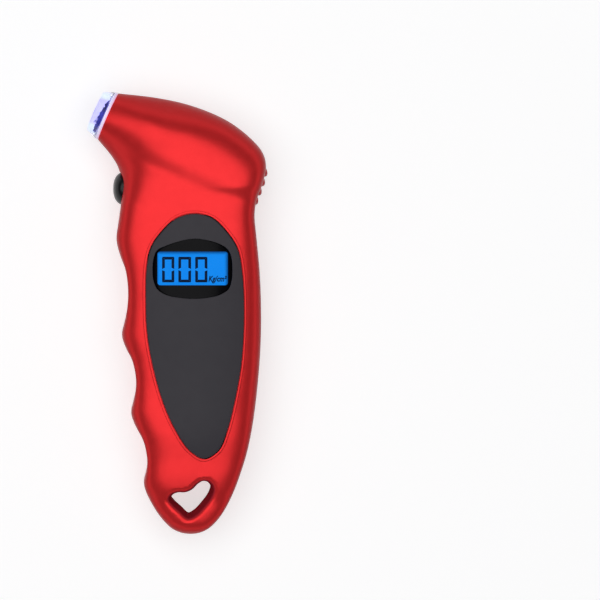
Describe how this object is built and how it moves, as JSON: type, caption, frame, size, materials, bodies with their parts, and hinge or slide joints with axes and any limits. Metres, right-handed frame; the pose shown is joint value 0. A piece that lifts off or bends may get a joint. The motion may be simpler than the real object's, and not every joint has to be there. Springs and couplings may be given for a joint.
{
  "type": "tire pressure gauge",
  "caption": "Pistol-grip digital tire pressure gauge with a lit display, side button, clear nozzle tip, finger grooves and a lanyard hole.",
  "frame": {"origin": "bottom centre of the whole gauge's bounding box, on the plane of the flat resting pad on its back", "axes": "+X to the thumb side, +Y up the grip to the nozzle's end, +Z out of the display"},
  "size_m": [0.0612, 0.1504, 0.0288],
  "materials": {
    "red_plastic": "satin metallic",
    "grey_plate": "fine satin",
    "tinted_window": "gloss",
    "lcd_glass": "gloss, lit blue",
    "dark_plastic": "moulded",
    "light_guide": "milky",
    "contact_rubber": "matte",
    "board": "solder mask",
    "epoxy": "gloss",
    "sensor_housing": "moulded",
    "clear_tip": "clear",
    "pale_rubber": "matte",
    "black_rubber": "matte",
    "silicone": "satin",
    "brass": "turned",
    "contact_metal": "plated",
    "cell_steel": "bright",
    "screw_steel": "zinc",
    "lamp_epoxy": "clear blue",
    "button_plastic": "high gloss"
  },
  "bodies": {
    "gauge": {"front_shell": "red_plastic", "rear_shell": "red_plastic", "faceplate": "grey_plate", "display_lens": "tinted_window", "lcd_glass": "lcd_glass", "lcd_frame": "dark_plastic", "valve_block": "dark_plastic", "switch_body": "dark_plastic", "backlight_panel": "light_guide", "contact_strip_upper": "contact_rubber", "contact_strip_lower": "contact_rubber", "circuit_board": "board", "chip_cover": "epoxy", "pressure_sensor": "sensor_housing", "nozzle_tip": "clear_tip", "nozzle_seal": "pale_rubber", "sealing_ring": "black_rubber", "sensor_tube": "silicone", "valve_pin": "brass", "coin_contact": "contact_metal", "coin_clip": "contact_metal", "cell_contact_left": "contact_metal", "cell_contact_right": "contact_metal", "coin_cell": "cell_steel", "button_cell_1": "cell_steel", "button_cell_2": "cell_steel", "button_cell_3": "cell_steel", "shell_screw_1": "screw_steel", "shell_screw_2": "screw_steel", "shell_screw_3": "screw_steel", "shell_screw_4": "screw_steel", "board_screw_1": "screw_steel", "board_screw_2": "screw_steel", "board_screw_3": "screw_steel", "board_screw_4": "screw_steel", "nozzle_lamp_upper": "lamp_epoxy", "nozzle_lamp_lower": "lamp_epoxy"},
    "button": {"power_button": "button_plastic"},
    "stem": {"switch_stem": "sensor_housing"},
    "door": {"battery_door": "red_plastic"}
  },
  "joints": [
    {"name": "button_press", "type": "slide", "parent": "gauge", "child": "button", "axis": [1, 0, 0], "range_m": [0, 0.0008], "stiffness_N_per_m": 1500, "springref_m": -0.0002},
    {"name": "switch_press", "type": "slide", "parent": "gauge", "child": "stem", "axis": [1, 0, 0], "range_m": [0, 0.0008]},
    {"name": "battery_door_hinge", "type": "hinge", "parent": "gauge", "child": "door", "pos_m": [0.00552, 0.01844, 0.00095], "axis": [1, 0, 0], "range_deg": [0, 90]}
  ],
  "couplings": [
    {"joint": "switch_press", "follows": "button_press", "ratio": 1}
  ]
}
